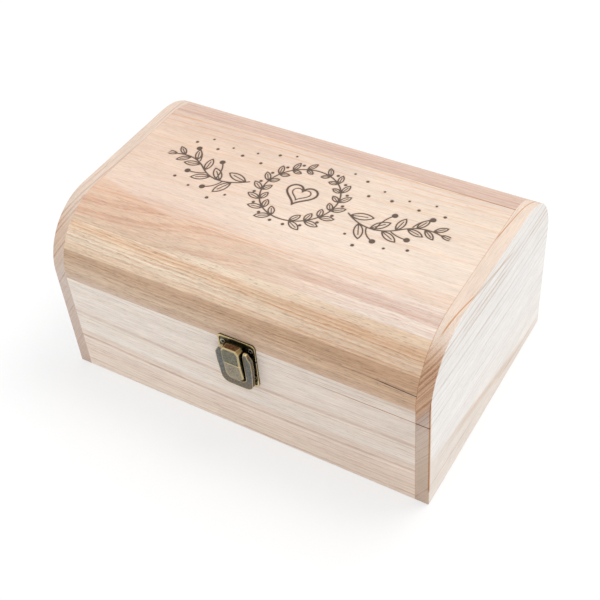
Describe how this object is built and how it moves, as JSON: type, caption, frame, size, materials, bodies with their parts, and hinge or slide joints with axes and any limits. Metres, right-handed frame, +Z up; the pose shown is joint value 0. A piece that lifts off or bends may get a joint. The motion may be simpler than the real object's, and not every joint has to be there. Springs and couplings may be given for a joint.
{
  "type": "wooden keepsake box",
  "caption": "Wooden box for papers and keepsakes, with a round-shouldered lid hinged at the back and a draw latch on the front.",
  "frame": {"origin": "middle of the underside, on the surface that the box stands on", "axes": "+X along the box to the right as seen from the latch, +Y from the latch toward the hinges, +Z up"},
  "size_m": [0.3, 0.2095, 0.142],
  "materials": {
    "long_panel_wood": "sanded, unfinished, pale pinkish beige with thin brown grain lines",
    "end_board_wood": "sanded, unfinished, pale grey-white face with darker end grain on its edges",
    "shoulder_wood": "sanded, unfinished, warm tan with yellow and pink streaks",
    "top_board_wood": "sanded, unfinished, pale yellow beige, burnt line decoration",
    "bottom_panel_wood": "plain unfinished wood panel",
    "latch_metal": "antique brass plating, worn bright at the edges",
    "hinge_metal": "antique brass plating",
    "screw_metal": "antique brass plating, bright rim",
    "pin_metal": "dull steel wire"
  },
  "bodies": {
    "base": {"base_left_end": "end_board_wood", "base_right_end": "end_board_wood", "base_front_panel": "long_panel_wood", "base_back_panel": "long_panel_wood", "base_bottom_panel": "bottom_panel_wood", "left_hinge_base_leaf": "hinge_metal", "left_hinge_pin": "pin_metal", "left_hinge_base_screws": "screw_metal", "right_hinge_base_leaf": "hinge_metal", "right_hinge_pin": "pin_metal", "right_hinge_base_screws": "screw_metal", "latch_base_plate": "latch_metal", "latch_base_plate_screws": "screw_metal", "latch_lever_rivets": "pin_metal"},
    "lid": {"lid_left_end": "end_board_wood", "lid_right_end": "end_board_wood", "lid_front_strip": "long_panel_wood", "lid_back_strip": "long_panel_wood", "lid_front_shoulder": "shoulder_wood", "lid_back_shoulder": "shoulder_wood", "lid_top_board": "top_board_wood", "left_hinge_lid_leaf": "hinge_metal", "left_hinge_lid_screws": "screw_metal", "right_hinge_lid_leaf": "hinge_metal", "right_hinge_lid_screws": "screw_metal", "latch_hook_plate": "latch_metal", "latch_hook_plate_screws": "screw_metal"},
    "lever": {"latch_lever": "latch_metal", "latch_catch_pin": "pin_metal"},
    "catch": {"latch_catch": "latch_metal"}
  },
  "joints": [
    {"name": "lid_hinge", "type": "hinge", "parent": "base", "child": "lid", "pos_m": [0, 0.09975, 0.081], "axis": [-1, 0, 0], "range_deg": [0, 180]},
    {"name": "lever_hinge", "type": "hinge", "parent": "base", "child": "lever", "pos_m": [0.007, -0.1023, 0.088], "axis": [-1, 0, 0], "range_deg": [0, 110]},
    {"name": "catch_hinge", "type": "hinge", "parent": "lever", "child": "catch", "pos_m": [0.007, -0.1008, 0.077], "axis": [1, 0, 0], "range_deg": [0, 110]}
  ],
  "couplings": [
    {"joint": "catch_hinge", "follows": "lever_hinge", "ratio": 1}
  ]
}
